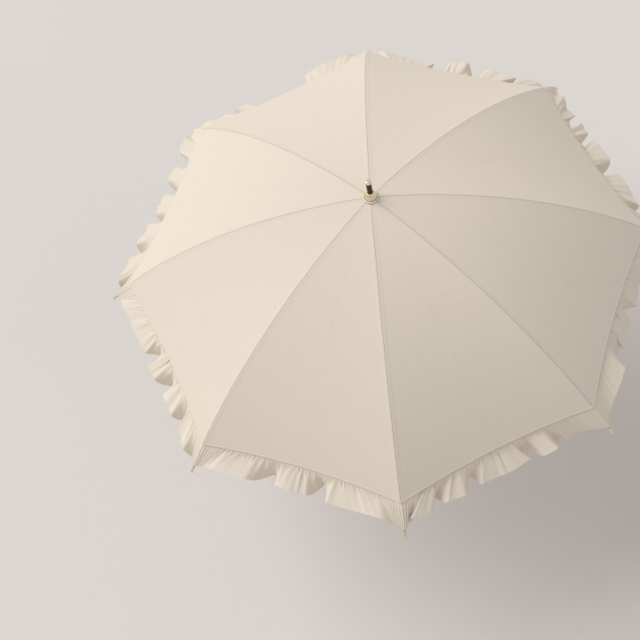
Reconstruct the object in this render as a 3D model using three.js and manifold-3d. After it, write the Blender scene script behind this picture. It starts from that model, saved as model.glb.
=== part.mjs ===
// Parasol: eight ribs under a cloth canopy with a ruffle, on a tube with a bamboo crook handle.
// Millimetres. +Z runs along the shaft towards the ferrule. The origin is on the shaft's axis, in
// the middle of the handle's straight grip. The frame is modelled open.
import * as THREE from 'three';
import { mergeVertices } from 'three/addons/utils/BufferGeometryUtils.js';
import Module from 'manifold-3d';

const wasm = await Module();
wasm.setup();

// ---- Driving dimensions ----
const gap = 0.3;                    // between pieces that touch
const ribCount = 8;
const apexHeight = 588;             // top of the cloth at the shaft, above the grip
const ribLength = 550;              // from the shaft's axis to the tip, along the cloth
const crownSlope = THREE.MathUtils.degToRad(4);
const tipSlope = THREE.MathUtils.degToRad(47);

const clothThickness = 0.9;
const clothStart = 6;               // distances along the rib
const hemAtRib = 491;
const hemAtMidGore = 481;
const ruffleWidth = 45;             // in the middle of a gore
const ruffleEndAtRib = 537;

const shaftRadius = 4.5;
const shaftBore = 3.75;
const slideRadius = shaftRadius + gap;
const ferruleTop = 633;

const ribWidth = 3.4;               // a pressed channel, open towards the shaft
const ribWall = 0.6;
const ribTop = 2.0;                 // depths under the cloth's outer face
const ribBottom = 6.2;
const ribMiddle = (ribTop + ribBottom) / 2;
const ribStart = 18.3;
const ribEnd = 536.5;
const bladeThickness = 1.6;         // flattened ends of ribs and stretchers
const slotWidth = bladeThickness + 2 * gap;
const hingeAlong = 10.3;            // rib's eye, on the notch wire
const rivetAlong = 240;             // stretcher's joint, along the rib
const rivetDepth = 4.8;
const rivetRadius = 0.7;
const wireRadius = 0.5;
const eyeRadius = 1.5;

const gripLength = 87.4;            // straight part of the handle
const gripTop = 45;
const crookRadius = 39.3;
const crookLength = 142;            // along the bent centre line
const socketDepth = 55;             // of the shaft in the handle

const catchLength = 36;
const catchReach = 6;               // radius of the catch's nose
const catchWidth = 2;

// ---- Finishes ----
const finish = (color, roughness, metalness) =>
  new THREE.MeshStandardMaterial({ color, roughness, metalness });
const cloth = () => finish(0xddd5c4, 0.85, 0);
const gold = () => finish(0xc9a263, 0.3, 1);
const nickel = () => finish(0xb9b5ab, 0.35, 1);
const blackPaint = () => finish(0x141414, 0.35, 0.2);
const blackPlastic = () => finish(0x1b1b1b, 0.5, 0);
const bamboo = () => finish(0xd9963f, 0.4, 0);

// ---- Solids ----

// A closed mesh as a solid: shared vertices merged, triangles of no area left out
function toSolid(geometry) {
  const bare = geometry.clone();
  bare.deleteAttribute('normal');
  bare.deleteAttribute('uv');
  const merged = mergeVertices(bare, 1e-4);
  const corners = merged.index.array;
  const triangles = [];
  for (let i = 0; i < corners.length; i += 3) {
    const [a, b, c] = corners.slice(i, i + 3);
    if (a !== b && b !== c && c !== a) triangles.push(a, b, c);
  }
  return new wasm.Manifold(new wasm.Mesh({
    numProp: 3,
    vertProperties: Float32Array.from(merged.attributes.position.array),
    triVerts: Uint32Array.from(triangles),
  }));
}

function toGeometry(solid) {
  const mesh = solid.getMesh();
  const geometry = new THREE.BufferGeometry();
  geometry.setAttribute('position', new THREE.BufferAttribute(mesh.vertProperties, 3));
  geometry.setIndex(new THREE.BufferAttribute(mesh.triVerts, 1));
  geometry.computeVertexNormals();
  return geometry;
}

const joined = (first, ...others) =>
  toGeometry(others.reduce((sum, next) => sum.add(toSolid(next)), toSolid(first)));
const cut = (first, ...tools) =>
  toGeometry(tools.reduce((rest, tool) => rest.subtract(toSolid(tool)), toSolid(first)));

// A solid of revolution about Z from [radius, height] pairs, listed with the solid on the left
function turned(profile, segments) {
  const points = profile.map(([radius, height]) => new THREE.Vector2(radius, height));
  return new THREE.LatheGeometry(points, segments).rotateX(Math.PI / 2);
}

// A turned ring with a rectangular section
const ring = (inner, outer, low, high, segments) => turned(
  [[inner, low], [outer, low], [outer, high], [inner, high], [inner, low]], segments);

// A box from its lowest to its highest corner
function block(low, high, segmentsAlongX = 1) {
  const size = high.map((value, i) => value - low[i]);
  return new THREE.BoxGeometry(...size, segmentsAlongX).translate(
    ...low.map((value, i) => value + size[i] / 2));
}

function warped(geometry, place) {
  const position = geometry.attributes.position;
  const point = new THREE.Vector3();
  for (let i = 0; i < position.count; i++) {
    point.fromBufferAttribute(position, i);
    position.setXYZ(i, ...place(point));
  }
  return geometry;
}

// ---- The rib's curve ----
// In a rib's own frame X runs outwards along the rib, Y across it and Z up.

const ribCurvature = (tipSlope - crownSlope) / ribLength;

function underCloth(along, depth) {
  const slope = crownSlope + ribCurvature * along;
  const radius = (Math.sin(slope) - Math.sin(crownSlope)) / ribCurvature;
  const drop = (Math.cos(crownSlope) - Math.cos(slope)) / ribCurvature;
  return {
    radius: radius - depth * Math.sin(slope),
    height: apexHeight - drop - depth * Math.cos(slope),
  };
}

// Bends a straight piece, with X along the rib and Z = -depth, onto the rib's curve
const bent = (geometry) => warped(geometry, ({ x, y, z }) => {
  const { radius, height } = underCloth(x, -z);
  return [radius, y, height];
});

const ribHinge = underCloth(hingeAlong, ribMiddle);
const rivetPoint = underCloth(rivetAlong, rivetDepth);
const runnerPivot = { radius: ribHinge.radius, height: 2 * rivetPoint.height - ribHinge.height };
const stretcherLength = Math.hypot(
  rivetPoint.radius - ribHinge.radius, rivetPoint.height - ribHinge.height);
const stretcherSlope = Math.atan2(
  rivetPoint.height - runnerPivot.height, rivetPoint.radius - runnerPivot.radius);

// ---- Crown and shaft ----

const runnerLength = 57;            // from its pivots down to its lower end
const runnerBottom = runnerPivot.height - runnerLength;
const topCatchNose = runnerBottom - 0.6;
const bottomCatchNose = 100;
const catchAzimuth = Math.PI / ribCount;
const shaftBottom = gripTop - socketDepth;
const shaftTop = ferruleTop - 5.3;

function shaft() {
  const slot = (low, high) =>
    block([0, -catchWidth / 2 - gap, low - 0.9], [8, catchWidth / 2 + gap, high + 0.9])
      .rotateZ(catchAzimuth);
  return cut(
    ring(shaftBore, shaftRadius, shaftBottom, shaftTop, 24),
    slot(topCatchNose - catchLength, topCatchNose),
    slot(bottomCatchNose, bottomCatchNose + catchLength));
}

// A cap as wide as the shaft, with a spigot in its bore
const ferruleTip = () => turned([
  [0, shaftTop - 8], [shaftBore - gap, shaftTop - 8], [shaftBore - gap, shaftTop + gap],
  [4.6, shaftTop + gap], [4.8, ferruleTop - 4], [4.8, ferruleTop - 1.8], [4.2, ferruleTop - 0.6],
  [3, ferruleTop], [0, ferruleTop],
], 24);

const crownCap = () => turned([
  [slideRadius, apexHeight + 3.8], [9.6, apexHeight + 3.8], [10.1, apexHeight + 4.8],
  [9.2, apexHeight + 7.2], [7.8, apexHeight + 10], [6.3, apexHeight + 13],
  [5.4, apexHeight + 15.6], [slideRadius, apexHeight + 15.6], [slideRadius, apexHeight + 3.8],
], 24);

const crownRosette = () => turned([
  [5.2, apexHeight + 0.4], [11.4, apexHeight + 0.3], [12.8, apexHeight + 1.4],
  [11.8, apexHeight + 3], [9, apexHeight + 3.4], [5.2, apexHeight + 3.4],
  [5.2, apexHeight + 0.4],
], 24);

// Eight radial slots that take the flattened ends of the ribs or stretchers
const slots = (from, low, high) => Array.from({ length: ribCount }, (_, i) =>
  block([from, -slotWidth / 2, low], [16, slotWidth / 2, high])
    .rotateZ(i * 2 * Math.PI / ribCount));

function topNotch() {
  const low = ribHinge.height - 2.8;
  const high = apexHeight - 2.3;
  const hub = turned([
    [slideRadius, low - 7], [6.6, low - 7], [6.6, low], [12.5, low], [12.5, high],
    [slideRadius, high], [slideRadius, low - 7],
  ], 24);
  const groove = ring(ribHinge.radius - wireRadius - gap, ribHinge.radius + wireRadius + gap,
    ribHinge.height - wireRadius - gap, ribHinge.height + wireRadius + gap, 24);
  return cut(hub, groove, ...slots(7.6, low - 1, high + 1));
}

const wireRing = (radius, thickness, height) =>
  new THREE.TorusGeometry(radius, thickness, 5, 24).translate(0, 0, height);

// ---- Runner and catches ----

const runnerWireRadius = 7.75;
const runnerWireThickness = 0.4;
const sleeveRadius = 7.05;

function runner() {
  const pivot = runnerPivot.height;
  const body = turned([
    [slideRadius, runnerBottom], [8.2, runnerBottom], [8.2, runnerBottom + 4],
    [sleeveRadius, runnerBottom + 6], [sleeveRadius, pivot - 3], [12.5, pivot - 3],
    [12.5, pivot + 3], [sleeveRadius, pivot + 3], [sleeveRadius, pivot + 7],
    [slideRadius, pivot + 7], [slideRadius, runnerBottom],
  ], 24);
  const reach = runnerWireThickness + gap;
  const groove = ring(sleeveRadius, runnerWireRadius + reach, pivot - reach, pivot + reach, 24);
  // The keyway lets the runner pass the noses of both catches
  const keyway = block([0, -catchWidth / 2 - 0.4, runnerBottom - 1],
    [catchReach + gap, catchWidth / 2 + 0.4, pivot + 8]).rotateZ(catchAzimuth);
  return cut(body, groove, keyway, ...slots(sleeveRadius + 0.25, pivot - 4, pivot + 4));
}

// A leaf inside the shaft with a nose through its slot. Its foot is at height 0, and it hinges there
function catchLeaf() {
  const outline = new THREE.Shape([
    [0.2, 0], [shaftRadius - 0.1, 0], [shaftRadius - 0.1, 2], [1.8, 4], [1.8, 12],
    [catchReach, catchLength - 4], [catchReach, catchLength], [0.2, catchLength],
  ].map(([x, y]) => new THREE.Vector2(x, y)));
  return new THREE.ExtrudeGeometry(outline, { depth: catchWidth, bevelEnabled: false })
    .translate(0, 0, -catchWidth / 2).rotateX(Math.PI / 2);
}

const topCatch = () => catchLeaf().rotateZ(catchAzimuth)
  .translate(0, 0, topCatchNose - catchLength);
const bottomCatch = () => catchLeaf().rotateX(Math.PI).rotateZ(catchAzimuth)
  .translate(0, 0, bottomCatchNose + catchLength);

// ---- Handle ----

// Bamboo: its joints stand proud, and it is thinner past each one
const bambooJoints = [2.5, 58, 109, 159.5, 201.5];
function bambooRadius(distance) {
  const passed = bambooJoints.filter((joint) => distance > joint).length;
  const radius = [7, 6.9, 6, 5.6, 5.5, 5.4][passed];
  const proud = bambooJoints.map((joint) => 0.8 * Math.exp(-(((distance - joint) / 2.2) ** 2)));
  return radius + Math.max(...proud);
}

function handle() {
  const total = gripLength + crookLength;
  const steps = 38;
  const profile = [[0, socketDepth + gap], [slideRadius, socketDepth + gap], [slideRadius, 0]];
  for (let i = 0; i <= steps; i++) {
    profile.push([bambooRadius(i * total / steps), i * total / steps]);
  }
  profile[profile.length - 1][0] += 1.2;
  profile.push([0, total]);
  return warped(turned(profile, 12), ({ x, y, z }) => {
    if (z <= gripLength) return [x, -y, gripTop - z];
    const turn = (z - gripLength) / crookRadius;
    return [
      crookRadius - (crookRadius - x) * Math.cos(turn),
      -y,
      gripTop - gripLength - (crookRadius - x) * Math.sin(turn),
    ];
  });
}

// ---- One rib with what it carries ----

// A hole or pin across the rib
const crossPin = (radius, width) => new THREE.CylinderGeometry(radius, radius, width, 8);

function rib() {
  const steps = 14;
  const half = ribWidth / 2;
  const channel = bent(block([ribStart, -half, -ribBottom], [ribEnd, half, -ribTop], steps));
  const hollow = bent(block([ribStart + 2, -half + ribWall, -ribBottom - 1],
    [ribEnd - 2, half - ribWall, -ribTop - 0.8], steps));
  const blade = bent(block([hingeAlong, -bladeThickness / 2, -ribMiddle - eyeRadius],
    [ribStart + 4, bladeThickness / 2, -ribMiddle + eyeRadius]));
  const eye = crossPin(eyeRadius, bladeThickness).translate(hingeAlong, 0, -ribMiddle);
  const pin = new THREE.CylinderGeometry(1, 1, 11, 6).rotateZ(Math.PI / 2)
    .translate(ribEnd + 3.7, 0, -ribMiddle);
  const solid = joined(cut(channel, hollow), blade, bent(eye), bent(pin));
  return cut(solid,
    bent(crossPin(wireRadius + gap, ribWidth + 1).translate(hingeAlong, 0, -ribMiddle)),
    bent(crossPin(rivetRadius + gap, ribWidth + 1).translate(rivetAlong, 0, -rivetDepth)));
}

// A cap with a blind bore, turned about the rib's line
const ribTip = () => bent(turned([
  [0, 9.5], [1.3, 9.5], [1.3, 0], [1.9, 0], [2.1, 8], [2.4, 10], [2.1, 12.1], [1.1, 13.2],
  [0, 13.5],
], 8).rotateY(Math.PI / 2).translate(ribEnd + 1.5, 0, -ribMiddle));

function rivet() {
  const inside = ribWidth / 2 + gap;
  const outside = inside + 0.6;
  const headRadius = 1.7;
  const points = [
    [0, -outside], [headRadius, -outside], [headRadius, -inside], [rivetRadius, -inside],
    [rivetRadius, inside], [headRadius, inside], [headRadius, outside], [0, outside],
  ].map(([x, y]) => new THREE.Vector2(x, y));
  return bent(new THREE.LatheGeometry(points, 6).translate(rivetAlong, 0, -rivetDepth));
}

// A straight bar from the rivet, at X = 0, to the runner: a channel with flattened ends
function stretcher() {
  const blade = (from, to) => block([from, -bladeThickness / 2, -eyeRadius],
    [to, bladeThickness / 2, eyeRadius]);
  const end = (at) => crossPin(eyeRadius, bladeThickness).translate(at, 0, 0);
  const hole = (at, radius) => crossPin(radius, 4).translate(at, 0, 0);
  const channelStart = 16;
  const channelEnd = stretcherLength - 22;
  const channel = cut(block([channelStart, -1.5, -1.5], [channelEnd, 1.5, 1.5]),
    block([channelStart + 6, -0.9, -0.8], [channelEnd - 6, 0.9, 2]));
  const bar = joined(channel, blade(0, channelStart + 3), blade(channelEnd - 3, stretcherLength),
    end(0), end(stretcherLength));
  return cut(bar, hole(0, rivetRadius + gap), hole(stretcherLength, 0.8))
    .rotateZ(Math.PI)
    .rotateY(-stretcherSlope)
    .translate(rivetPoint.radius, 0, rivetPoint.height);
}

// ---- Cloth ----

// The cloth between two ribs is straight across. side runs from -1 to 1, from the middle of one
// gore over the rib to the middle of the next.
const halfGore = Math.PI / ribCount;
function clothPoint(side, along, depth) {
  const { radius, height } = underCloth(along, 0);
  const slope = crownSlope + ribCurvature * along;
  const reach = radius * Math.cos(halfGore) * Math.sin(halfGore) - gap / 2;
  return [
    radius * (1 - Math.abs(side) * Math.sin(halfGore) ** 2),
    side * reach,
    height - depth / Math.cos(slope),
  ];
}

const hemAlong = (side) => hemAtMidGore + (hemAtRib - hemAtMidGore) * (1 - Math.abs(side)) ** 2;

// A piece of cloth round one rib: ends(side) gives where it starts and stops along the rib, and
// faces(side) the depths of its outer and inner face
const clothPiece = (steps, ends, faces) => warped(
  new THREE.BoxGeometry(1, 2, 1, steps, 4, 1), ({ x, y, z }) => {
    const [start, stop] = ends(y);
    const [outer, inner] = faces(y);
    const along = THREE.MathUtils.lerp(start, stop, x + 0.5);
    return clothPoint(y, along, THREE.MathUtils.lerp(inner, outer, z + 0.5));
  });

const canopyPanel = () => clothPiece(12, (side) => [clothStart, hemAlong(side)],
  () => [0, clothThickness]);

const rufflePanel = () => clothPiece(3,
  (side) => [
    hemAlong(side) + 0.5,
    THREE.MathUtils.lerp(ruffleEndAtRib, hemAtMidGore + ruffleWidth, Math.abs(side)),
  ],
  (side) => [-1 - 3 * Math.abs(side), clothThickness + 3 * Math.abs(side)]);

// The tie strap hangs from a gore's seam, folded in half with its snap closed
const strapAlong = 370;
const strapLength = 75;
const strapWidth = 14;
const strapAside = 3.5;             // from the rib's own plane
const strapThickness = 3;
function tieStrap() {
  const { radius, height } = underCloth(strapAlong, 8);
  return block([radius - strapThickness, strapAside, height - strapLength],
    [radius, strapAside + strapWidth, height]);
}

// ---- Assembly ----

function piece(name, geometry, material) {
  const mesh = new THREE.Mesh(geometry, material);
  mesh.name = name;
  return mesh;
}

// Rib 1 points along +Y, and the others follow clockwise, seen from the ferrule
function arm(number) {
  const group = new THREE.Group();
  group.rotation.z = Math.PI / 2 - (number - 1) * 2 * Math.PI / ribCount;
  group.add(
    piece(`rib_${number}`, rib(), nickel()),
    piece(`rib_tip_${number}`, ribTip(), gold()),
    piece(`rivet_${number}`, rivet(), nickel()),
    piece(`stretcher_${number}`, stretcher(), nickel()),
    piece(`canopy_${number}`, canopyPanel(), cloth()),
    piece(`ruffle_${number}`, rufflePanel(), cloth()));
  if (number === 1) group.add(piece('tie_strap', tieStrap(), cloth()));
  return group;
}

const parasol = new THREE.Group();
parasol.add(
  piece('shaft', shaft(), blackPaint()),
  piece('ferrule_tip', ferruleTip(), gold()),
  piece('crown_cap', crownCap(), gold()),
  piece('crown_rosette', crownRosette(), cloth()),
  piece('top_notch', topNotch(), blackPlastic()),
  piece('notch_wire', wireRing(ribHinge.radius, wireRadius, ribHinge.height), nickel()),
  piece('runner', runner(), blackPlastic()),
  piece('runner_wire', wireRing(runnerWireRadius, runnerWireThickness, runnerPivot.height),
    nickel()),
  piece('top_catch', topCatch(), nickel()),
  piece('bottom_catch', bottomCatch(), nickel()),
  piece('handle', handle(), bamboo()));
for (let number = 1; number <= ribCount; number++) parasol.add(arm(number));

export default parasol;
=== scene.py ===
"""The looks of a parasol with a ruffled hem and a bamboo crook handle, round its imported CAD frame.

Metres. +Z runs along the shaft towards the ferrule, and the origin is in the middle of the grip.
Rib 1 points along +Y, and the others follow clockwise, seen from the ferrule.
"""

import math

import bpy
import numpy as np
from mathutils import Matrix, Vector


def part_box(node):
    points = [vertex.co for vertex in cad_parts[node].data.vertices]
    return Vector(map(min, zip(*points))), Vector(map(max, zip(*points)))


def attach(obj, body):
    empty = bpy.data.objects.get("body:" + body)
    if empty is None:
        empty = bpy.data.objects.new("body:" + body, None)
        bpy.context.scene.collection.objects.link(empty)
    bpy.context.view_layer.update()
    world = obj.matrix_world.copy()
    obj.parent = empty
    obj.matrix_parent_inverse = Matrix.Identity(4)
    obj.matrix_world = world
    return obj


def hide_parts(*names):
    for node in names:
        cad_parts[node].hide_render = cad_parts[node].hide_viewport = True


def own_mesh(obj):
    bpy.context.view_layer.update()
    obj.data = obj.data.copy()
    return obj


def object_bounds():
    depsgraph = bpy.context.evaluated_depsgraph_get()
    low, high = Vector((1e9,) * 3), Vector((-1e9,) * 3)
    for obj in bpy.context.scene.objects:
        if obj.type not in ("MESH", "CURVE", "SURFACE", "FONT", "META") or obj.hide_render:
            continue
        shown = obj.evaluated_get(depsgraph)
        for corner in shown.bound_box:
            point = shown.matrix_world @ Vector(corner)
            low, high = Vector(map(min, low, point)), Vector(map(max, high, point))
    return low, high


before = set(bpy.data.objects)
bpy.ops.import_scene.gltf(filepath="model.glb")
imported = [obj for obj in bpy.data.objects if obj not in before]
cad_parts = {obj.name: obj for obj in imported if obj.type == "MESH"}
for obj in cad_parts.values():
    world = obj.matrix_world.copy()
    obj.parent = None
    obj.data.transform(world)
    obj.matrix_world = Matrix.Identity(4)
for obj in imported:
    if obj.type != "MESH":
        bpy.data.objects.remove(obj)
CAD_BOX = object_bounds()

# ---- Driving dimensions, those of the CAD ----
RIBS = 8
HALF_GORE = math.pi / RIBS
APEX = 0.588                        # the cloth's outer face at the shaft
RIB_LENGTH = 0.550
CROWN_SLOPE = math.radians(4)
TIP_SLOPE = math.radians(47)
CURVATURE = (TIP_SLOPE - CROWN_SLOPE) / RIB_LENGTH
CLOTH_START = 0.006                 # distances along a rib
HEM_AT_RIB = 0.491
HEM_AT_MIDDLE = 0.481
RUFFLE_WIDTH = 0.045
STRAP_WIDTH = 0.014

GRIP = 0.0874                       # straight part of the handle
GRIP_TOP = 0.045
CROOK_RADIUS = 0.0393
CROOK = 0.142                       # bent part, along its middle
SOCKET = 0.0553                     # depth and radius of the handle's bore
SOCKET_RADIUS = 0.0048
BAMBOO_JOINTS = np.array([0.0025, 0.058, 0.109, 0.1595, 0.2015])    # distances down the cane
BAMBOO_RADII = np.array([7, 6.9, 6, 5.6, 5.5, 5.4]) / 1000          # before each, and at the end

# ---- Cloth details ----
CLOTH = 0.0005                      # thicknesses
RUFFLE_CLOTH = 0.0004
STRAP_CLOTH = 0.0008
THREAD = 0.00045                    # from one thread of the weave to the next
HOLLOW = 0.0050                     # how far a gore is drawn in, in the middle of its hem
RIDGE_ROUNDING = 0.0015             # of the canopy over a rib
# Distances of the mesh's columns from a seam, and of its rows from the hem
SEAM_COLUMNS = np.array([0, 0.45, 0.9, 1.4, 2.3, 4.4, 5.2, 7.5, 11]) / 1000
HEM_ROWS = np.array([14, 11.5, 9.3, 8.7, 8.2, 6.5, 5, 3.6, 2.6, 1.8, 1.1, 0.6, 0.25, 0]) / 1000
SEAM_STITCHES = 0.0024              # stitches, from the seam or the hem that they hold
HEM_STITCHES = 0.0076
EDGE_STITCHES = 0.0021
STRAP_STITCHES = 0.002
RING_RADIUS, RING_HALF_WIDTH = 0.0089, 0.0034   # of the crown's ring of cloth
SNAP_DROP = 0.013                   # from the strap's top to its snap

# ---- Ruffle ----
RUFFLE_TUCK = 0.003                 # of the strip under the hem
RUFFLE_ROWS = np.array([0, 3, 6, 9, 13, 18, 24, 31, 39, 48, 57, 66, 75, 83, 89, 93, 94.5, 97, 99,
                        100]) / 100
RUFFLE_SEED = 5
REST_ANGLE = math.radians(-4)       # of the ruffle at a rib, out from the canopy's slope
RIB_REACH = 0.026                   # beside a rib, where the ruffle has no folds of its own
NEAREST_KNOT = RIB_REACH * 0.75     # from a rib to the knots of the free edge beside it
FREE_FROM, FREE_AT = 0.012, 0.040   # beside a rib, where the ruffle starts to swing and swings fully
LOBE_SWINGS = (10, 28)              # degrees out from the canopy's slope
HANGING_SWINGS = (-14, 0)           # of lobes that hang instead
FOLD_SWINGS = (-48, -20)            # of the hollows between lobes
FOLD_OVERLAPS = (-0.003, 0.011)     # how far the cloth turns back over itself
FOLD_RUN = 0.006                    # from a fold to the bottom of the hollow behind it
SWING_COST = 0.65 * RUFFLE_WIDTH    # cloth that the free edge takes up for each radian of swing
PLEAT = 0.0054                      # from one pleat beside a rib to the next
# How strong the pleats beside each rib are, clockwise and counterclockwise from it
PLEATS = np.array([(0.5, 0.35), (0.4, 0.6), (0.3, 0.5), (0.4, 0.5), (0.8, 1), (0.5, 0.4),
                   (0.95, 0.6), (0.6, 0.3)])
FAN = 0.9                           # pleats stronger than this have a fold beside them

# ---- Camera, light and floor ----
VIEW_AZIMUTH, VIEW_ELEVATION, VIEW_ROLL = (math.radians(a) for a in (12.137, 61.590, -16.607))
VIEW_TARGET = Vector((-0.0993, -0.1676, APEX - 0.0774))
VIEW_DISTANCE = 2.0515
LENS, SENSOR = 73.24, 36            # millimetres
KEY_AZIMUTH, KEY_ELEVATION = math.radians(151), math.radians(45)
KEY_ENERGY, KEY_SOFTNESS = 1.80, 52         # the softness in degrees across
KEY_COLOUR = (1, 0.985, 0.96)
WORLD_COLOUR, WORLD_STRENGTH = (1, 0.965, 0.945, 1), 0.545
FLOOR_REACH, FLOOR_DROP = 6, 0.001  # to its edges, and under the parasol

# ---- Colours ----
CLOTH_COLOUR = (0.80, 0.73, 0.625, 1)
ROSETTE_COLOUR = (0.90, 0.84, 0.76, 1)
FLOOR_COLOUR, FLOOR_SHADE = (0.765, 0.74, 0.735, 1), (0.75, 0.725, 0.715, 1)


# ---- Meshes ----

def mesh_object(name, points, faces):
    """A new object in the scene, shaded smooth."""
    mesh = bpy.data.meshes.new(name)
    mesh.from_pydata([tuple(p) for p in points], [], faces)
    mesh.update()
    mesh.polygons.foreach_set("use_smooth", [True] * len(mesh.polygons))
    made = bpy.data.objects.new(name, mesh)
    bpy.context.scene.collection.objects.link(made)
    return made


def quads(rows, columns, first=0, flipped=False, wrapped=False):
    """The faces of a grid of points numbered row by row. wrapped joins its last column to its first."""
    faces = []
    for i in range(rows - 1):
        for j in range(columns if wrapped else columns - 1):
            a, b = first + i * columns, first + (i + 1) * columns
            k = (j + 1) % columns
            corners = (a + j, b + j, b + k, a + k)
            faces.append(corners[::-1] if flipped else corners)
    return faces


def grid_normals(grid):
    """Unit normals of a grid of points: from its rows' direction turned to its columns'."""
    normal = np.cross(np.gradient(grid, axis=0), np.gradient(grid, axis=1))
    return normal / np.maximum(np.linalg.norm(normal, axis=2, keepdims=True), 1e-12)


def attribute(obj, name, values):
    """Stores one number for each point."""
    made = obj.data.attributes.new(name, "FLOAT", "POINT")
    made.data.foreach_set("value", np.asarray(values, np.float32).ravel())


def uv_map(obj, uv):
    """Stores a flat position, in metres, for each point."""
    layer = obj.data.uv_layers.new(name="flat")
    corners = np.zeros(len(obj.data.loops), np.int32)
    obj.data.loops.foreach_get("vertex_index", corners)
    layer.data.foreach_set("uv", np.asarray(uv, np.float32)[corners].ravel())


def skin(name, grid, normals, thickness, uv, edge):
    """Closed cloth from a grid of points on its outer face. edge is each point's distance from the
    line of stitches along its hem."""
    rows, columns = grid.shape[:2]
    inner = grid - normals * thickness
    count = rows * columns
    faces = quads(rows, columns) + quads(rows, columns, count, flipped=True)
    border = (list(range(columns))
              + [i * columns + columns - 1 for i in range(1, rows)]
              + [(rows - 1) * columns + j for j in range(columns - 2, -1, -1)]
              + [i * columns for i in range(rows - 2, 0, -1)])
    for a, b in zip(border, border[1:] + border[:1]):
        faces.append((a, b, b + count, a + count))
    made = mesh_object(name, np.vstack([grid.reshape(-1, 3), inner.reshape(-1, 3)]), faces)
    uv_map(made, np.tile(uv.reshape(-1, 2), (2, 1)))
    attribute(made, "hem", np.tile(np.broadcast_to(edge, (rows, columns)).ravel(), 2))
    both = np.vstack([normals.reshape(-1, 3), -normals.reshape(-1, 3)])
    made.data.normals_split_custom_set_from_vertices([tuple(n) for n in both])
    return made


def turned(name, profile, steps=64, ring=False):
    """A solid of revolution about Z from (radius, height) pairs, with the solid on their left. A ring
    joins its last pair to its first."""
    angles = np.arange(steps) * 2 * math.pi / steps
    points, starts = [], []
    for radius, height in profile:
        starts.append(len(points))
        if radius < 1e-9:
            points.append((0, 0, height))
        else:
            points.extend((radius * math.cos(a), radius * math.sin(a), height) for a in angles)
    rows = list(zip((radius < 1e-9 for radius, _ in profile), starts))
    faces = []
    for (low_is_point, low), (high_is_point, high) in zip(rows, rows[1:] + rows[:1] * ring):
        for j in range(steps):
            k = (j + 1) % steps
            if low_is_point:
                faces.append((low, high + k, high + j))
            elif high_is_point:
                faces.append((low + j, low + k, high))
            else:
                faces.append((low + j, low + k, high + k, high + j))
    return mesh_object(name, points, faces)


def rounded(profile, reach=0.0004, steps=3, ring=False):
    """The profile with its corners turned into short arcs."""
    corners = [np.asarray(p, float) for p in profile]
    made = []
    for i, corner in enumerate(corners):
        if not ring and i in (0, len(corners) - 1):
            made.append(corner)
            continue
        before = corners[i - 1] - corner
        after = corners[(i + 1) % len(corners)] - corner
        start, end = (corner + way * min(0.45, reach / np.linalg.norm(way))
                      for way in (before, after))
        for t in np.linspace(0, 1, steps + 1):
            made.append((1 - t) ** 2 * start + 2 * t * (1 - t) * corner + t ** 2 * end)
    return made


def moved(obj, place):
    """Moves each of the object's points to where place puts it, all at once."""
    points = np.array([v.co for v in obj.data.vertices], float)
    obj.data.vertices.foreach_set("co", np.asarray(place(points), np.float32).ravel())
    obj.data.update()
    return obj


# ---- The canopy's surface ----

def rib_frame(number):
    """Turns a rib's own frame, with X outwards and Y across it, to the parasol's."""
    return np.array(Matrix.Rotation(
        math.pi / 2 - (number - 1) * 2 * math.pi / RIBS, 3, "Z"))


def over_rib(along):
    """Radius, height and slope of the cloth over a rib."""
    slope = CROWN_SLOPE + CURVATURE * along
    radius = (np.sin(slope) - math.sin(CROWN_SLOPE)) / CURVATURE
    height = APEX - (math.cos(CROWN_SLOPE) - np.cos(slope)) / CURVATURE
    return radius, height, slope


def half_width(along):
    """From a rib to the middle of the gore beside it, straight across."""
    return over_rib(along)[0] * math.cos(HALF_GORE) * math.sin(HALF_GORE)


GORE = 2 * float(half_width(HEM_AT_MIDDLE))


def hem_along(side):
    """Where the hem is, from the rib at side 0 to the middles of its gores at -1 and 1."""
    return HEM_AT_MIDDLE + (HEM_AT_RIB - HEM_AT_MIDDLE) * (1 - np.abs(side)) ** 2


def taut(along, across):
    """Points of the stretched cloth's outer face, in a rib's frame."""
    radius, height, slope = over_rib(along)
    share = np.minimum(np.abs(across) / np.maximum(half_width(along), 1e-6), 1)
    hollow = HOLLOW * np.minimum(along / HEM_AT_RIB, 1.1) ** 1.5 * (1 - (1 - share) ** 2)
    aside = np.sqrt(across ** 2 + RIDGE_ROUNDING ** 2)
    return np.stack([
        radius - aside * math.tan(HALF_GORE) - hollow * np.sin(slope),
        across + 0 * radius,
        height - hollow * np.cos(slope)], axis=-1)


def uneven(positions, length, seed):
    """Smooth waves of about that length, from -1 to 1."""
    draw = np.random.default_rng(seed)
    total = 0
    for share in (0.72, 1.0, 1.37):
        total = total + np.sin(
            2 * math.pi * positions / (length * share) + draw.uniform(0, 2 * math.pi)
            + 1.3 * np.sin(2 * math.pi * positions / (length * 5 * share)))
    return total / 3


def step(value, low, high):
    """Rises smoothly from 0 at low to 1 at high."""
    t = np.clip((value - low) / (high - low), 0, 1)
    return t * t * (3 - 2 * t)


def bump(value, centre, width):
    """1 at the centre, and near 0 from twice the width on."""
    return np.exp(-((value - centre) / width) ** 2)


def canopy_columns(width):
    """Distances from the rib for one side, close together at the seam, for rows of that width."""
    near = SEAM_COLUMNS * np.minimum(1, 0.5 * width / SEAM_COLUMNS[-1])
    far = near[:, -1:] + np.linspace(0, 1, 20)[1:] * (width - near[:, -1:])
    return np.hstack([near, far])


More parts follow.
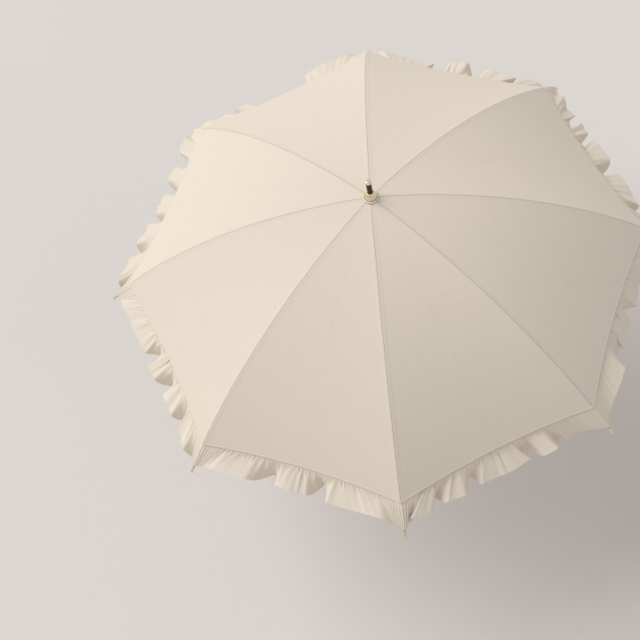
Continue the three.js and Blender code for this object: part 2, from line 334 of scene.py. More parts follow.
def canopy_grid():
    """Places on the cloth round one rib, in rows from crown to hem: along the rib, across it, the
    share of the way to the gore's middle, and the distance from the hem."""
    share = np.hstack([np.linspace(0, 0.966, 66) ** 0.9, 1 - HEM_ROWS / HEM_AT_RIB])[:, None]
    along = CLOTH_START + share * (HEM_AT_RIB - CLOTH_START)
    for _ in range(3):              # the hem isn't straight, so a column's length depends on its place
        across = canopy_columns(half_width(along[:, -1:]))
        across = np.hstack([-across[:, :0:-1], across])
        side = across / half_width(along[:, -1:])
        along = CLOTH_START + share * (hem_along(side) - CLOTH_START)
    return along, across, side, (1 - share) * hem_along(side)


def canopy_relief(number, along, across, side, from_hem):
    """How far the sewing lifts the cloth, at its seam and at its folded hem."""
    from_seam = np.abs(across)
    off_rib = step(from_seam, 0.003, 0.009)
    groove = 0.0006 * bump(from_seam, 0, 0.0005) * step(from_hem, 0.002, 0.008)
    allowance = 0.0003 * (1 - step(from_seam, 0.0042, 0.0053))
    pucker = uneven(along + np.where(across < 0, 0.013, 0) + 0.1 * number, 0.0085, 5)
    seam = allowance - groove + 0.00016 * pucker * bump(from_seam, 0.0035, 0.003)
    folded = 0.00012 * (1 - step(from_hem, 0.0080, 0.0094))
    roll = 0.00045 * bump(from_hem, 0.0016, 0.0013) - 0.0005 * bump(from_hem, 0, 0.0005) * off_rib
    drawn = uneven(across + 0.37 * number, 0.011, 9) * off_rib * (1 - step(np.abs(side), 0.9, 1))
    return (seam * step(half_width(along), 0.004, 0.02) + folded + roll
            + 0.0002 * drawn * bump(from_hem, 0.010, 0.008))


def canopy_cloth(number):
    """The cloth round one rib, with its seam and its folded hem."""
    along, across, side, from_hem = canopy_grid()
    points = taut(along, across)
    lift = canopy_relief(number, along, across, side, from_hem)
    points = points + grid_normals(points) * lift[:, :, None]

    shading = grid_normals(points)
    for column, way in ((0, -1), (-1, 1)):      # the next gore half mirrors this one at its edge
        mirror = np.array([math.sin(HALF_GORE), -way * math.cos(HALF_GORE), 0])
        edge = shading[:, column]
        edge = edge - (edge @ mirror)[:, None] * mirror
        shading[:, column] = edge / np.linalg.norm(edge, axis=1, keepdims=True)
    turn = rib_frame(number)
    return skin(f"canopy_cloth_{number}", points @ turn.T, shading @ turn.T, CLOTH,
                np.dstack([across, along]), from_hem - HEM_STITCHES)


# ---- The ruffle ----

def smooth_through(knots, values, at):
    """A smooth curve through values at knots that doesn't swing past them."""
    steps = np.diff(knots)
    slopes = np.diff(values) / steps
    inner = np.where(slopes[:-1] * slopes[1:] > 0,
                     2 * slopes[:-1] * slopes[1:] / (slopes[:-1] + slopes[1:] + 1e-12), 0)
    ends = np.hstack([slopes[:1], inner, slopes[-1:]])
    i = np.clip(np.searchsorted(knots, at, side="right") - 1, 0, len(steps) - 1)
    h, t = steps[i], (at - knots[i]) / steps[i]
    return ((1 + 2 * t) * (1 - t) ** 2 * values[i] + t * (1 - t) ** 2 * h * ends[i]
            + t * t * (3 - 2 * t) * values[i + 1] + t * t * (t - 1) * h * ends[i + 1])


def fold_places(draw, strong):
    """Where one gore's folds are, from its rib. A lobe of the ruffle lies over the gore's middle, and
    a rib whose pleats are strong has a fold beside them."""
    half = draw.uniform(0.026, 0.040)
    sides = []
    for fan in strong:
        room = GORE / 2 - half - RIB_REACH
        inner = [room * draw.uniform(0.42, 0.60)] if draw.uniform() < 0.6 else []
        sides.append(GORE / 2 - half - np.array([0.0, *inner, *([room] if fan else [])]))
    return np.hstack([sides[0][::-1], GORE - sides[1]])


def ruffle_path():
    """The ruffle's free edge all round, as knots: the cloth's own length, the place along the hem,
    and the angle that it swings out from the canopy's slope. Where the place turns back, the cloth
    is folded over itself. Also the numbers of the knots that stay over their own part of the seam,
    those at the ribs, and those at the middles of the gores."""
    draw = np.random.default_rng(RUFFLE_SEED)
    knots, over_seam, at_ribs, at_middles = [np.array([0.0, 0.0, REST_ANGLE])], [0], [0], []

    def go(place, degrees, *lists):
        length, last, before = knots[-1]
        angle = math.radians(degrees)
        ahead = math.hypot(place - last, SWING_COST * (angle - before))
        for members in lists:
            members.append(len(knots))
        knots.append(np.array([length + ahead + 0.001, place, angle]))

    def lobe(low, high, middle, out):
        """Between two folds, swung out. The gore's middle is in one of its lobes."""
        size = high - low
        if low < middle < high:
            go(middle - size * 0.2, out + draw.uniform(-6, 6))
            go(middle, out, over_seam, at_middles)
            go(middle + size * 0.2, out + draw.uniform(-6, 6))
        elif size > 0.015:
            go(low + size * 0.3, out)
            if size > 0.04:
                go(low + size * 0.5, out - 3, over_seam)
                go(high - size * 0.3, out - draw.uniform(0, 14))

    def fold(place, from_rib, out, after):
        """From a lobe that swings out to the next. Either of them may lie on top."""
        over, deep = draw.uniform(*FOLD_OVERLAPS), draw.uniform(*FOLD_SWINGS)
        if from_rib < 0.05:
            deep *= 0.55
        if draw.uniform() < 0.6:
            go(place + over / 2, out * 0.7)
            go(place - over / 2, deep * 0.5)
            go(place + over / 2 + FOLD_RUN, deep)
        else:
            go(place - over / 2 - FOLD_RUN, deep)
            go(place + over / 2, deep * 0.4)
            go(place - over / 2, after * 0.7)

    for gore in range(RIBS):
        rib, middle, end = gore * GORE, (gore + 0.5) * GORE, (gore + 1) * GORE
        strong = (PLEATS[gore, 0] > FAN, PLEATS[(gore + 1) % RIBS, 1] > FAN)
        bounds = np.hstack([rib + NEAREST_KNOT, rib + fold_places(draw, strong), end - NEAREST_KNOT])
        lobes = len(bounds) - 1
        outs = np.where(draw.uniform(size=lobes) < 0.75, draw.uniform(*LOBE_SWINGS, lobes),
                        draw.uniform(*HANGING_SWINGS, lobes))
        go(bounds[0], draw.uniform(-8, 4))
        for low, high, out, after in zip(bounds, bounds[1:], outs, [*outs[1:], 0]):
            lobe(low, high, middle, out)
            if high < bounds[-1]:
                fold(high, min(high - rib, end - high), out, after)
        go(bounds[-1], draw.uniform(-8, 4))
        go(end, math.degrees(REST_ANGLE), over_seam, at_ribs)
    return np.array(knots), over_seam, at_ribs, at_middles


PATH, OVER_SEAM, AT_RIBS, AT_MIDDLES = ruffle_path()


def along_hem(number, length):
    """Where lines across the ruffle start at its seam and end at its free edge, from this rib towards
    its own Y, and how far the edge swings out there."""
    total = PATH[-1, 0]
    turns = np.floor(length / total)
    at = length - turns * total
    here = (number - 1) * GORE
    over = PATH[OVER_SEAM, :2]
    seam = here - (smooth_through(over[:, 0], over[:, 1], at) + turns * RIBS * GORE)
    edge = here - (smooth_through(PATH[:, 0], PATH[:, 1], at) + turns * RIBS * GORE)
    return seam, edge, smooth_through(PATH[:, 0], PATH[:, 2], at)


def ruffle_relief(length, share, seam, strength):
    """Gathers at the seam, softer folds that run down from them, and pleats towards the rib's tip."""
    beside = np.abs(seam)
    free = step(beside, FREE_FROM, FREE_AT)
    gathers = 0.0011 * uneven(length, 0.0066, 3) * step(share, 0.07, 0.15)
    gathers = gathers * (1 - step(share, 0.20, 0.42)) * free
    folds = 0.0019 * uneven(length, 0.021, 8) * step(share, 0.1, 0.4) * (1 - 0.6 * share) * free
    pleats = (0.5 + 0.5 * np.cos(2 * math.pi * seam / PLEAT)) * (1 - step(beside, 0.020, 0.034))
    pleats = pleats * (0.0002 + 0.0015 * strength * step(share, 0.06, 0.3))
    under = -0.0006 - 0.0008 * step(beside, 0.003, 0.010)
    return gathers + folds + pleats + under


def ruffle_points(number, length, share):
    """The ruffle round one rib. length is along the cloth, from rib 1 on clockwise, and share is
    from the seam to the free edge."""
    seam, edge, angle_at_edge = along_hem(number, length)
    strength = PLEATS[number - 1][np.where(seam < 0, 0, 1)]
    beside = np.abs(seam)
    reach = RUFFLE_WIDTH + RUFFLE_TUCK

    # Lines of the cloth run from the seam to the edge, and those near the rib to its tip
    drawn = (0.014 + 0.009 * strength) * np.tanh(edge / 0.028) * (1 - step(beside, 0.05, 0.14))
    sideways = share * (edge - seam) - drawn * share
    lean = np.abs(edge - seam - drawn) / reach
    shorter = np.sqrt(np.maximum(0.3, 1 - lean ** 2))

    free = step(share, 0.05, 0.42) * step(beside, FREE_FROM, FREE_AT)
    angle = angle_at_edge * (0.82 + 0.3 * share) * free
    ahead = np.diff(share, axis=0) * reach * shorter
    middle = (angle[1:] + angle[:-1]) / 2
    down = np.vstack([0 * length, np.cumsum(np.cos(middle) * ahead, axis=0)])
    out = np.vstack([0 * length, np.cumsum(np.sin(middle) * ahead, axis=0)])

    width = float(half_width(HEM_AT_MIDDLE))
    along = hem_along(np.clip(seam / width, -1, 1)) - RUFFLE_TUCK + down
    across = seam * half_width(along) / width + sideways
    slope = over_rib(along)[2]
    tilt = np.sign(across) * math.sin(HALF_GORE) * step(np.abs(across), 0, 0.008)
    outward = np.stack([np.sin(slope) * np.sqrt(1 - tilt ** 2), np.sin(slope) * tilt,
                        np.cos(slope)], axis=-1)
    lift = out + ruffle_relief(length, share, seam, strength)
    return taut(along, across) + outward * lift[:, :, None]


def ruffle_cloth(number):
    """The gathered strip round one rib, with a narrow hem along its edge, and its cut length."""
    rib = PATH[AT_RIBS[number - 1], 0]
    first = PATH[AT_MIDDLES[number - 2], 0] - (PATH[-1, 0] if number == 1 else 0)
    last = PATH[AT_MIDDLES[number - 1], 0]
    near = 0.034                    # its columns are closer together beside the rib
    length = np.hstack([np.linspace(last, rib + near, 120)[:-1],
                        np.linspace(rib + near, rib - near, 84),
                        np.linspace(rib - near, first, 120)[1:]])
    length = np.hstack([2 * length[0] - length[1], length, 2 * length[-1] - length[-2]])[None, :]
    share = RUFFLE_ROWS[:, None]
    points = ruffle_points(number, length, share)
    from_edge = (1 - share) * (RUFFLE_WIDTH + RUFFLE_TUCK) + 0 * length
    lift = 0.0002 * (1 - step(from_edge, 0.0024, 0.0030))
    points = points + grid_normals(points) * lift[:, :, None]
    normals = grid_normals(points)
    ends = slice(1, -1)
    flat = np.dstack([length - rib + 0 * share, -from_edge])
    turn = rib_frame(number)
    made = skin(f"ruffle_cloth_{number}", points[:, ends] @ turn.T, normals[:, ends] @ turn.T,
                (RUFFLE_CLOTH + 2 * lift)[:, ends, None], flat[:, ends],
                from_edge[:, ends] - EDGE_STITCHES)
    return made, float(last - first)


# ---- Crown, ferrule and handle ----

def rosette():
    """The small scalloped ring of cloth under the crown's cap, with a raised rim."""
    rows, columns, scallops = 48, 240, 12
    around = np.arange(columns) * 2 * math.pi / columns
    turn = np.arange(rows) * 2 * math.pi / rows
    scallop = np.abs(np.cos(scallops / 2 * around))[None, :]
    radius = RING_RADIUS + (RING_HALF_WIDTH + 0.0005 * scallop) * np.cos(turn)[:, None]
    top = 0.0007 + 0.0026 * bump(radius, 0.0113 + 0.0004 * scallop, 0.0011)
    height = APEX + 0.0006 + np.where(np.sin(turn) > 0, np.sin(turn), 0)[:, None] ** 0.5 * top
    points = np.stack([radius * np.cos(around), radius * np.sin(around), height], axis=-1)
    faces = quads(rows, columns, flipped=True, wrapped=True)
    last = (rows - 1) * columns     # its last row joins its first
    for j in range(columns):
        k = (j + 1) % columns
        faces.append((last + j, last + k, k, j))
    made = mesh_object("crown_rosette_cloth", points.reshape(-1, 3), faces)
    flat = np.stack([np.broadcast_to(around * RING_RADIUS, (rows, columns)),
                     np.broadcast_to((turn * 0.0025)[:, None], (rows, columns))], axis=-1)
    uv_map(made, flat.reshape(-1, 2))
    attribute(made, "hem", np.ones(rows * columns))
    return made


def crown_cap():
    """The domed ring on the shaft that holds the crown's cloth down."""
    low = APEX + 0.0038
    profile = [(0.0048, 0), (0.0096, 0), (0.0101, 0.0004), (0.0101, 0.0012), (0.0096, 0.0023),
               (0.0090, 0.0038), (0.0083, 0.0054), (0.0074, 0.0071), (0.0065, 0.0088),
               (0.0058, 0.0103), (0.0054, 0.0116), (0.0048, 0.0118)]
    return turned("crown_cap_gold", rounded([(r, low + z) for r, z in profile], ring=True), ring=True)


def ferrule_tip():
    """A cap as wide as the shaft, with a spigot in its bore."""
    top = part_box("ferrule_tip")[1].z
    profile = [(0, -0.0133), (0.0030, -0.0133), (0.00345, -0.0128), (0.00345, -0.0050),
               (0.0045, -0.0050), (0.0047, -0.0046), (0.0047, -0.0018), (0.0043, -0.0008),
               (0.0034, -0.0001), (0.0026, 0), (0, 0)]
    return turned("ferrule_tip_gold", rounded([(r, top + z) for r, z in profile]))


def bamboo_radius(distance):
    """The cane's radius: it swells at each joint, with a scar between two lips, and thins past it."""
    radius = np.full_like(distance, BAMBOO_RADII[0])
    for joint, before, after in zip(BAMBOO_JOINTS, BAMBOO_RADII, BAMBOO_RADII[1:]):
        past = distance - joint
        radius += (after - before) * step(past, -0.001, 0.003)
        radius += 0.00022 * bump(past, 0, 0.007)
        radius += 0.00062 * bump(past, -0.0010, 0.0011) + 0.00045 * bump(past, 0.0012, 0.0009)
        radius -= 0.00045 * bump(past, 0.0001, 0.0004)
    return radius


def bamboo_handle():
    """A cane bent to a crook, with a bore for the shaft."""
    total = GRIP + CROOK
    joints = np.hstack([joint + np.linspace(-0.004, 0.004, 33) for joint in BAMBOO_JOINTS])
    lengths = np.unique(np.round(np.hstack([np.linspace(0, total, 116), joints]), 5))
    lengths = lengths[(lengths >= 0.0006) & (lengths <= total - 0.0008)]
    radius = bamboo_radius(lengths) + 0.0012 * step(lengths, total - 0.006, total - 0.001)
    first, last = radius[0], radius[-1]
    profile = ([(0, SOCKET), (SOCKET_RADIUS, SOCKET), (SOCKET_RADIUS, 0.0003),
                (SOCKET_RADIUS + 0.0003, 0), (first - 0.0006, 0), (first - 0.0002, 0.0002)]
               + list(zip(radius, lengths))
               + [(last - 0.0003, total - 0.0003), (last - 0.0010, total),
                  (last * 0.5, total + 0.0001), (0.0012, total + 0.0001), (0.0010, total - 0.0005),
                  (0, total - 0.0006)])
    made = turned("bamboo_handle", profile, 56)
    straight = np.array([v.co for v in made.data.vertices], float)
    stored = made.data.attributes.new("cane", "FLOAT_VECTOR", "POINT")
    stored.data.foreach_set("vector", straight.astype(np.float32).ravel())
    nearest = np.min(np.abs(straight[:, 2:] - BAMBOO_JOINTS), axis=1)
    attribute(made, "joint", nearest)
    attribute(made, "end", total - straight[:, 2])

    def crook(p):
        """Bends the part below the grip, and makes the outside a little oval."""
        distance = p[:, 2]
        oval = 1 + 0.02 * np.sin(2 * np.arctan2(p[:, 1], p[:, 0]) + 30 * distance)
        outer = np.hypot(p[:, 0], p[:, 1]) > SOCKET_RADIUS + 0.0004
        x, y = (np.where(outer, axis * oval, axis) for axis in (p[:, 0], p[:, 1]))
        angle = np.maximum(distance - GRIP, 0) / CROOK_RADIUS
        grip = np.minimum(distance, GRIP)
        return np.stack([CROOK_RADIUS - (CROOK_RADIUS - x) * np.cos(angle), -y,
                         GRIP_TOP - grip - (CROOK_RADIUS - x) * np.sin(angle)], axis=1)

    return moved(made, crook)


# ---- Tie strap ----

def strap_path(middle, top, length, half_gap):
    """The middle of the folded strap's cloth from the side, and its directions outwards."""
    fold = 0.0011                   # radius of the bend at the bottom
    leaf = np.linspace(0, 1, 34)
    spread = half_gap + (fold - half_gap) * step(leaf, 0.35, 0.95)
    bow = 0.0004 * np.sin(leaf * 5.2)
    z = top - leaf * (length - fold - STRAP_CLOTH / 2)
    bend = np.linspace(0, math.pi, 11)[1:-1]
    path = np.vstack([
        np.column_stack([middle + spread + bow, z]),
        np.column_stack([middle + bow[-1] + fold * np.cos(bend), z[-1] - fold * np.sin(bend)]),
        np.column_stack([middle - spread + bow, z])[::-1]])
    way = np.gradient(path, axis=0)
    way = way / np.linalg.norm(way, axis=1, keepdims=True)
    return path, np.column_stack([-way[:, 1], way[:, 0]])


def tie_strap():
    """A strip of cloth sewn under the canopy by rib 1, folded in half with its snap closed. Also
    the place of the snap's back, and the strip's whole length."""
    low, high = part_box("tie_strap")
    turn = rib_frame(1)
    corners = np.array([[x, y, z] for x in (low.x, high.x) for y in (low.y, high.y)
                        for z in (low.z, high.z)]) @ turn
    low, high = corners.min(0), corners.max(0)
    middle, top, half_gap = (low[0] + high[0]) / 2, high[2], 0.00048
    path, outward = strap_path(middle, top, top - low[2], half_gap)
    path = path + outward * STRAP_CLOTH / 2

    near = np.array([0, 0.3, 0.9, 1.8, 2.4, 3.4, 5, 7]) / 1000
    across = np.hstack([near, STRAP_WIDTH - near[-2::-1]])
    inside = np.minimum(across, STRAP_WIDTH - across)
    lift = 0.00012 * bump(inside, 0.0010, 0.0009)[None, :]
    shape = (len(path), len(across))
    points = np.stack([np.broadcast_to(path[:, :1], shape), np.broadcast_to(low[1] + across, shape),
                       np.broadcast_to(path[:, 1:], shape)], axis=-1)
    normals = np.stack([np.broadcast_to(outward[:, :1], shape), np.zeros(shape),
                        np.broadcast_to(outward[:, 1:], shape)], axis=-1)
    points = points + normals * lift[:, :, None]
    run = np.hstack([0, np.cumsum(np.linalg.norm(np.diff(path, axis=0), axis=1))])
    flat = np.stack([np.broadcast_to(run[:, None], shape), np.broadcast_to(across, shape)], axis=-1)
    made = skin("tie_strap_cloth", points @ turn.T, normals @ turn.T, STRAP_CLOTH, flat,
                np.broadcast_to(inside - STRAP_STITCHES, shape))
    centre = np.array([middle - half_gap - STRAP_CLOTH / 2, (low[1] + high[1]) / 2, top - SNAP_DROP])
    return made, turn @ centre, run[-1]


def snap(centre):
    """The snap's cap on the strap: a low dome with a rolled rim, its back to the cloth."""
    profile = [(0, 0.0001), (0.0044, 0.0001), (0.0050, 0.0004), (0.0050, 0.0010), (0.0045, 0.0013),
               (0.0041, 0.0012), (0.0036, 0.0014), (0.0020, 0.0018), (0, 0.0019)]
    made = turned("strap_snap", rounded(profile, 0.0003), 48)
    turn = rib_frame(1) @ np.array(Matrix.Rotation(-math.pi / 2, 3, "Y"))
    return moved(made, lambda p: p @ turn.T + centre)


# ---- Materials ----

def node(tree, kind, sockets=None, **settings):
    """Adds a node. sockets gives each input a value, or a socket to take it from."""
    made = tree.nodes.new("ShaderNode" + kind)
    for key, value in settings.items():
        setattr(made, key, value)
    for key, value in (sockets or {}).items():
        if isinstance(value, bpy.types.NodeSocket):
            tree.links.new(value, made.inputs[key])
        else:
            made.inputs[key].default_value = value
    return made


def maths(tree, operation, *values):
    """One sum or function of numbers or sockets."""
    return node(tree, "Math", dict(enumerate(values)), operation=operation).outputs[0]


def mixed(tree, share, first, second):
    """A colour between two, by share."""
    return node(tree, "Mix", {0: share, 6: first, 7: second}, data_type="RGBA").outputs[2]


def graded(tree, value, low, high, start=0.0, end=1.0):
    """value from low to high as start to end."""
    return node(tree, "MapRange", {0: value, 1: low, 2: high, 3: start, 4: end}).outputs[0]


def place_on(tree):
    """Each point's place in its object's own space."""
    return node(tree, "TexCoord").outputs["Object"]


def noise(tree, vector, scale, detail=2.0, stretch=(1, 1, 1)):
    """Smooth noise from 0 to 1, longer where stretch is under 1."""
    if stretch != (1, 1, 1):
        vector = node(tree, "Mapping", {"Vector": vector, "Scale": stretch}).outputs[0]
    return node(tree, "TexNoise", {"Vector": vector, "Scale": scale, "Detail": detail}).outputs[0]


def material(name, **surface):
    """A material with its shader's uniform values set."""
    made = bpy.data.materials.new(name)
    made.use_nodes = True
    shader = made.node_tree.nodes["Principled BSDF"]
    for key, value in surface.items():
        shader.inputs[key.replace("_", " ")].default_value = value
    return made, made.node_tree, shader


def paint(tree, shader, colour, roughness, height, distance):
    """Gives the shader its colour, its roughness and the bumps of a height from 0 to 1."""
    tree.links.new(colour, shader.inputs["Base Color"])
    tree.links.new(roughness, shader.inputs["Roughness"])
    made = node(tree, "Bump", {"Height": height, "Strength": 1.0, "Distance": distance})
    tree.links.new(made.outputs[0], shader.inputs["Normal"])


def rgb(red, green, blue):
    """A colour given as on a screen, from 0 to 255."""
    def linear(value):
        value /= 255
        return value / 12.92 if value <= 0.04045 else ((value + 0.055) / 1.055) ** 2.4
    return (linear(red), linear(green), linear(blue), 1)


def stitches(tree, distance, run, pitch=0.0028, reach=0.00026):
    """1 on a row of stitches, which lies where distance is 0 and runs along run."""
    near = graded(tree, maths(tree, "ABSOLUTE", distance), reach * 0.5, reach, 1, 0)
    turn = maths(tree, "FRACT", maths(tree, "DIVIDE", run, pitch))
    middle = maths(tree, "ABSOLUTE", maths(tree, "SUBTRACT", turn, 0.5))
    return maths(tree, "MULTIPLY", near, graded(tree, middle, 0.30, 0.40, 1, 0))


def cloth_material(name, tint, seams):
    """Fine plain weave with slubs, stitched hems and, on the canopy, stitched seams with painted shade
    in their grooves.
    """
    made, tree, shader = material(name, Sheen_Weight=0.12, Sheen_Roughness=0.5,
                                  Specular_IOR_Level=0.25)
    flat = node(tree, "UVMap", uv_map="flat").outputs[0]
    across, along = node(tree, "SeparateXYZ", {0: flat}).outputs[:2]
    hem = node(tree, "Attribute", attribute_name="hem").outputs["Fac"]

    warp = maths(tree, "SINE", maths(tree, "MULTIPLY", across, math.pi / THREAD))
    weft = maths(tree, "SINE", maths(tree, "MULTIPLY", along, math.pi / THREAD))
    weave = graded(tree, maths(tree, "MULTIPLY", warp, weft), -1, 1)
    slubs = maths(tree, "ADD", noise(tree, flat, 1600, 1, (1, 0.06, 1)),
                  noise(tree, flat, 1600, 1, (0.06, 1, 1)))
    cloudy = noise(tree, flat, 22, 3)
    shade = maths(tree, "ADD", graded(tree, slubs, 0.6, 1.4, 0.955, 1.035),
                  graded(tree, cloudy, 0.3, 0.7, -0.006, 0.006))
    shade = maths(tree, "ADD", shade, graded(tree, weave, 0, 1, -0.02, 0.02))
    rows = stitches(tree, hem, across)
    if seams:
        aside = maths(tree, "ABSOLUTE", across)
        rows = maths(tree, "MAXIMUM", rows,
                     stitches(tree, maths(tree, "SUBTRACT", aside, SEAM_STITCHES), along))
        # painted shade: the cloth is darkened in the groove along each seam, where shade falls
        painted_seam_shade = graded(tree, aside, 0.0003, 0.0008, 0.68, 1)
        shade = maths(tree, "MULTIPLY", shade, painted_seam_shade)
    shade = maths(tree, "MULTIPLY", shade, graded(tree, rows, 0, 1, 1, 0.84))
    colour = node(tree, "VectorMath", {0: tint[:3], "Scale": shade}, operation="SCALE").outputs[0]
    height = maths(tree, "ADD", maths(tree, "MULTIPLY", weave, 0.35),
                   maths(tree, "MULTIPLY", slubs, 0.3))
    height = maths(tree, "SUBTRACT", height, maths(tree, "MULTIPLY", rows, 0.5))
    paint(tree, shader, colour, graded(tree, slubs, 0.6, 1.4, 0.78, 0.92), height, 0.00010)
    return made


def gold_material():
    """Polished pale brass with a fine lay and faint handling marks."""
    made, tree, shader = material("gold_metal_mat", Metallic=1.0)
    place = place_on(tree)
    lay = noise(tree, place, 900, 2, (1, 1, 8))
    marks = noise(tree, place, 140, 4)
    colour = mixed(tree, graded(tree, marks, 0.3, 0.7), rgb(234, 215, 170), rgb(246, 233, 199))
    paint(tree, shader, colour, graded(tree, marks, 0.3, 0.75, 0.16, 0.34), lay, 0.00001)
    return made


def nickel_material():
    """Plated steel strip: drawn lengthwise, a little dull, with darker specks."""
    made, tree, shader = material("nickel_steel_mat", Metallic=1.0)
    place = place_on(tree)
    lay = noise(tree, place, 1400, 2)
    dull = noise(tree, place, 60, 4)
    colour = mixed(tree, graded(tree, dull, 0.35, 0.7), rgb(196, 194, 188), rgb(158, 155, 150))
    paint(tree, shader, colour, graded(tree, dull, 0.3, 0.7, 0.28, 0.46), lay, 0.00002)
    return made


def painted_material():
    """Black paint baked on a steel tube: glossy, with a faint orange peel and worn specks."""
    made, tree, shader = material("black_paint_mat", Specular_IOR_Level=0.3, Coat_Weight=0.1,
                                  Coat_Roughness=0.1)
    place = place_on(tree)
    peel = noise(tree, place, 700, 2)
    rubbed = noise(tree, place, 260, 5, (1, 1, 0.25))
    colour = mixed(tree, graded(tree, rubbed, 0.66, 0.78), rgb(8, 7, 8), rgb(30, 28, 27))
    paint(tree, shader, colour, graded(tree, rubbed, 0.3, 0.75, 0.2, 0.4), peel, 0.00003)
    return made


def plastic_material():
    """Moulded black plastic with a fine spark-eroded grain."""
    made, tree, shader = material("black_plastic_mat")
    place = place_on(tree)
    grain = noise(tree, place, 2600, 3)
    cloudy = noise(tree, place, 90, 3)
    colour = mixed(tree, graded(tree, cloudy, 0.3, 0.7), rgb(30, 30, 31), rgb(43, 42, 42))
    paint(tree, shader, colour, graded(tree, cloudy, 0.3, 0.7, 0.42, 0.56), grain, 0.00004)
    return made


def bamboo_material():
    """Lacquered cane: fine fibres along it, toasted patches, and dark scars at its joints."""
    made, tree, shader = material("bamboo_mat", Coat_Weight=0.55, Coat_Roughness=0.12)
    cane = node(tree, "Attribute", attribute_name="cane").outputs["Vector"]
    joint = node(tree, "Attribute", attribute_name="joint").outputs["Fac"]
    end = node(tree, "Attribute", attribute_name="end").outputs["Fac"]
    fibres = noise(tree, cane, 1500, 3, (1, 1, 0.03))
    streaks = noise(tree, cane, 330, 3, (1, 1, 0.04))
    patches = noise(tree, cane, 45, 3, (1, 1, 0.5))
    pores = noise(tree, cane, 2200, 2, (1, 1, 0.12))
    colour = mixed(tree, graded(tree, streaks, 0.35, 0.68), rgb(233, 172, 92), rgb(205, 130, 56))
    colour = mixed(tree, graded(tree, patches, 0.50, 0.72, 0, 0.6), colour, rgb(176, 98, 38))
    colour = mixed(tree, graded(tree, fibres, 0.45, 0.72, 0, 0.35), colour, rgb(150, 88, 36))
    colour = mixed(tree, graded(tree, pores, 0.66, 0.74, 0, 0.5), colour, rgb(96, 52, 22))
    toasted = maths(tree, "MULTIPLY", graded(tree, joint, 0.0012, 0.0075, 1, 0),
                    graded(tree, patches, 0.3, 0.7, 0.35, 0.8))
    colour = mixed(tree, toasted, colour, rgb(158, 92, 42))
    scar = graded(tree, joint, 0.0002, 0.0010, 0.85, 0)
    colour = mixed(tree, scar, colour, rgb(74, 42, 22))
    cut = graded(tree, end, 0.0006, 0.0030, 0.85, 0)
    colour = mixed(tree, cut, colour, rgb(116, 66, 34))
    height = maths(tree, "ADD", maths(tree, "MULTIPLY", fibres, 0.6),
                   maths(tree, "MULTIPLY", streaks, 0.4))
    paint(tree, shader, colour, graded(tree, streaks, 0.3, 0.7, 0.30, 0.44), height, 0.00012)
    return made


def floor_material():
    """Smooth matt plaster, almost even."""
    made, tree, shader = material("floor_mat", Specular_IOR_Level=0.2)
    place = place_on(tree)
    cloudy = noise(tree, place, 1.1, 3)
    grain = noise(tree, place, 500, 2)
    colour = mixed(tree, graded(tree, cloudy, 0.3, 0.7), FLOOR_COLOUR, FLOOR_SHADE)
    paint(tree, shader, colour, graded(tree, grain, 0, 1, 0.8, 0.9), grain, 0.0001)
    return made


# ---- The assembly ----

def covered(obj, made_of, body, slot, *nodes):
    """Gives a piece its material and its body, and hides the CAD nodes that it stands for. Its slot is
    not used.
    """
    obj.data.materials.append(made_of)
    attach(obj, body)
    if nodes:
        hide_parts(*nodes)
    return obj


def build_cloth(canopy, ruffle):
    """The canopy and its ruffle, on the body of the rib that they ride."""
    for number in range(1, RIBS + 1):
        body = f"rib_body_{number}"
        panel = covered(canopy_cloth(number), canopy, body, "cloth", f"canopy_{number}")
        strip, cut = ruffle_cloth(number)
        covered(strip, ruffle, body, "cloth", f"ruffle_{number}")
        for piece in (panel, strip):
            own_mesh(piece)


def build_crown(cloth, gold):
    """The ring of cloth on the crown and the gold over it."""
    ring = covered(rosette(), cloth, "shaft_body", "cloth", "crown_rosette")
    covered(crown_cap(), gold, "shaft_body", "gold_metal", "crown_cap")
    covered(ferrule_tip(), gold, "shaft_body", "gold_metal", "ferrule_tip")


def build_strap(cloth, gold):
    """The strap and its snap. The strap folds up behind the snap."""
    strap, centre, length = tie_strap()
    covered(strap, cloth, "rib_body_1", "cloth", "tie_strap")
    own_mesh(strap)
    covered(snap(centre), gold, "rib_body_1", "gold_metal")


def finish_cad(finishes):
    """Gives each CAD node that still shows the material of its kind, by the start of its name."""
    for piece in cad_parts.values():
        if not piece.hide_render:
            piece.data.materials.clear()
            piece.data.materials.append(
                next(made for start, made in finishes.items() if piece.name.startswith(start)))


def stage(low):
    """A plain floor at that height."""
    reach = FLOOR_REACH
    floor = mesh_object("floor", [(-reach, -reach, low), (reach, -reach, low), (reach, reach, low),
                                  (-reach, reach, low)], [(0, 1, 2, 3)])
    floor.data.materials.append(floor_material())


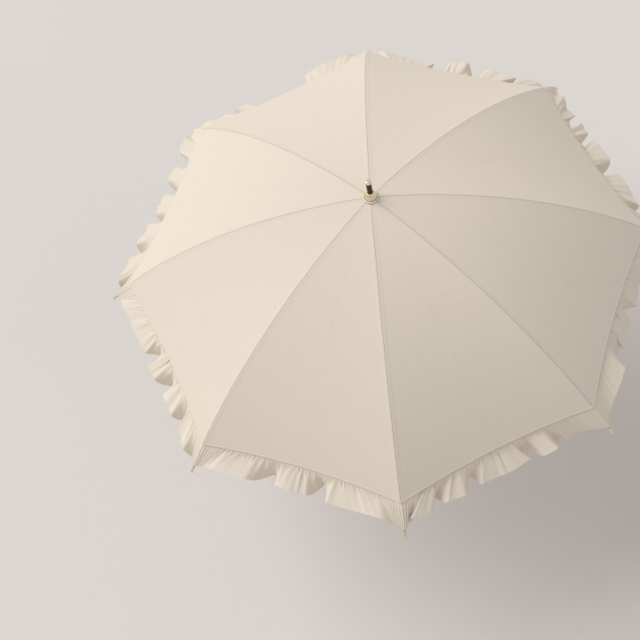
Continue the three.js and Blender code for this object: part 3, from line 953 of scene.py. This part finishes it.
def light():
    """A soft key light from one side, and an even light from all round."""
    sun = bpy.data.lights.new("key", "SUN")
    sun.energy, sun.angle, sun.color = KEY_ENERGY, math.radians(KEY_SOFTNESS), KEY_COLOUR
    key = bpy.data.objects.new("key", sun)
    towards = Vector((math.cos(KEY_ELEVATION) * math.cos(KEY_AZIMUTH),
                      math.cos(KEY_ELEVATION) * math.sin(KEY_AZIMUTH), math.sin(KEY_ELEVATION)))
    key.rotation_euler = towards.to_track_quat("Z", "Y").to_euler()
    bpy.context.scene.collection.objects.link(key)
    world = bpy.data.worlds.new("studio")
    world.use_nodes = True
    background = world.node_tree.nodes["Background"]
    background.inputs[0].default_value = WORLD_COLOUR
    background.inputs[1].default_value = WORLD_STRENGTH
    bpy.context.scene.world = world
    bpy.context.scene.view_settings.view_transform = "Standard"


def camera():
    """The scene's camera, which looks at its target from the view's azimuth and elevation."""
    made = bpy.data.objects.new("camera", bpy.data.cameras.new("camera"))
    azimuth, elevation = VIEW_AZIMUTH, VIEW_ELEVATION
    back = Vector((math.sin(azimuth) * math.cos(elevation),
                   -math.cos(azimuth) * math.cos(elevation), math.sin(elevation)))
    level = Vector((math.cos(azimuth), math.sin(azimuth), 0))
    upright = back.cross(level)
    right = math.cos(VIEW_ROLL) * level + math.sin(VIEW_ROLL) * upright
    up = back.cross(right)
    turn = Matrix((right, up, back)).transposed().to_4x4()
    made.matrix_world = Matrix.Translation(VIEW_TARGET + back * VIEW_DISTANCE) @ turn
    made.data.lens, made.data.sensor_width = LENS, SENSOR
    made.data.clip_start = 0.01
    bpy.context.scene.collection.objects.link(made)
    bpy.context.scene.camera = made


camera()
canopy = cloth_material("canopy_cloth_mat", CLOTH_COLOUR, seams=True)
trim = cloth_material("trim_cloth_mat", CLOTH_COLOUR, seams=False)
gold, bamboo = gold_material(), bamboo_material()
build_cloth(canopy, trim)
build_crown(cloth_material("rosette_cloth_mat", ROSETTE_COLOUR, seams=False), gold)
build_strap(trim, gold)
covered(bamboo_handle(), bamboo, "shaft_body", "bamboo", "handle")
nickel, plastic = nickel_material(), plastic_material()
finish_cad({"shaft": painted_material(), "rib_tip": gold, "rib": nickel, "rivet": nickel,
            "stretcher": nickel, "notch_wire": nickel, "runner_wire": nickel, "top_notch": plastic,
            "runner": plastic, "top_catch": nickel, "bottom_catch": nickel})
stage(CAD_BOX[0].z - FLOOR_DROP)
light()
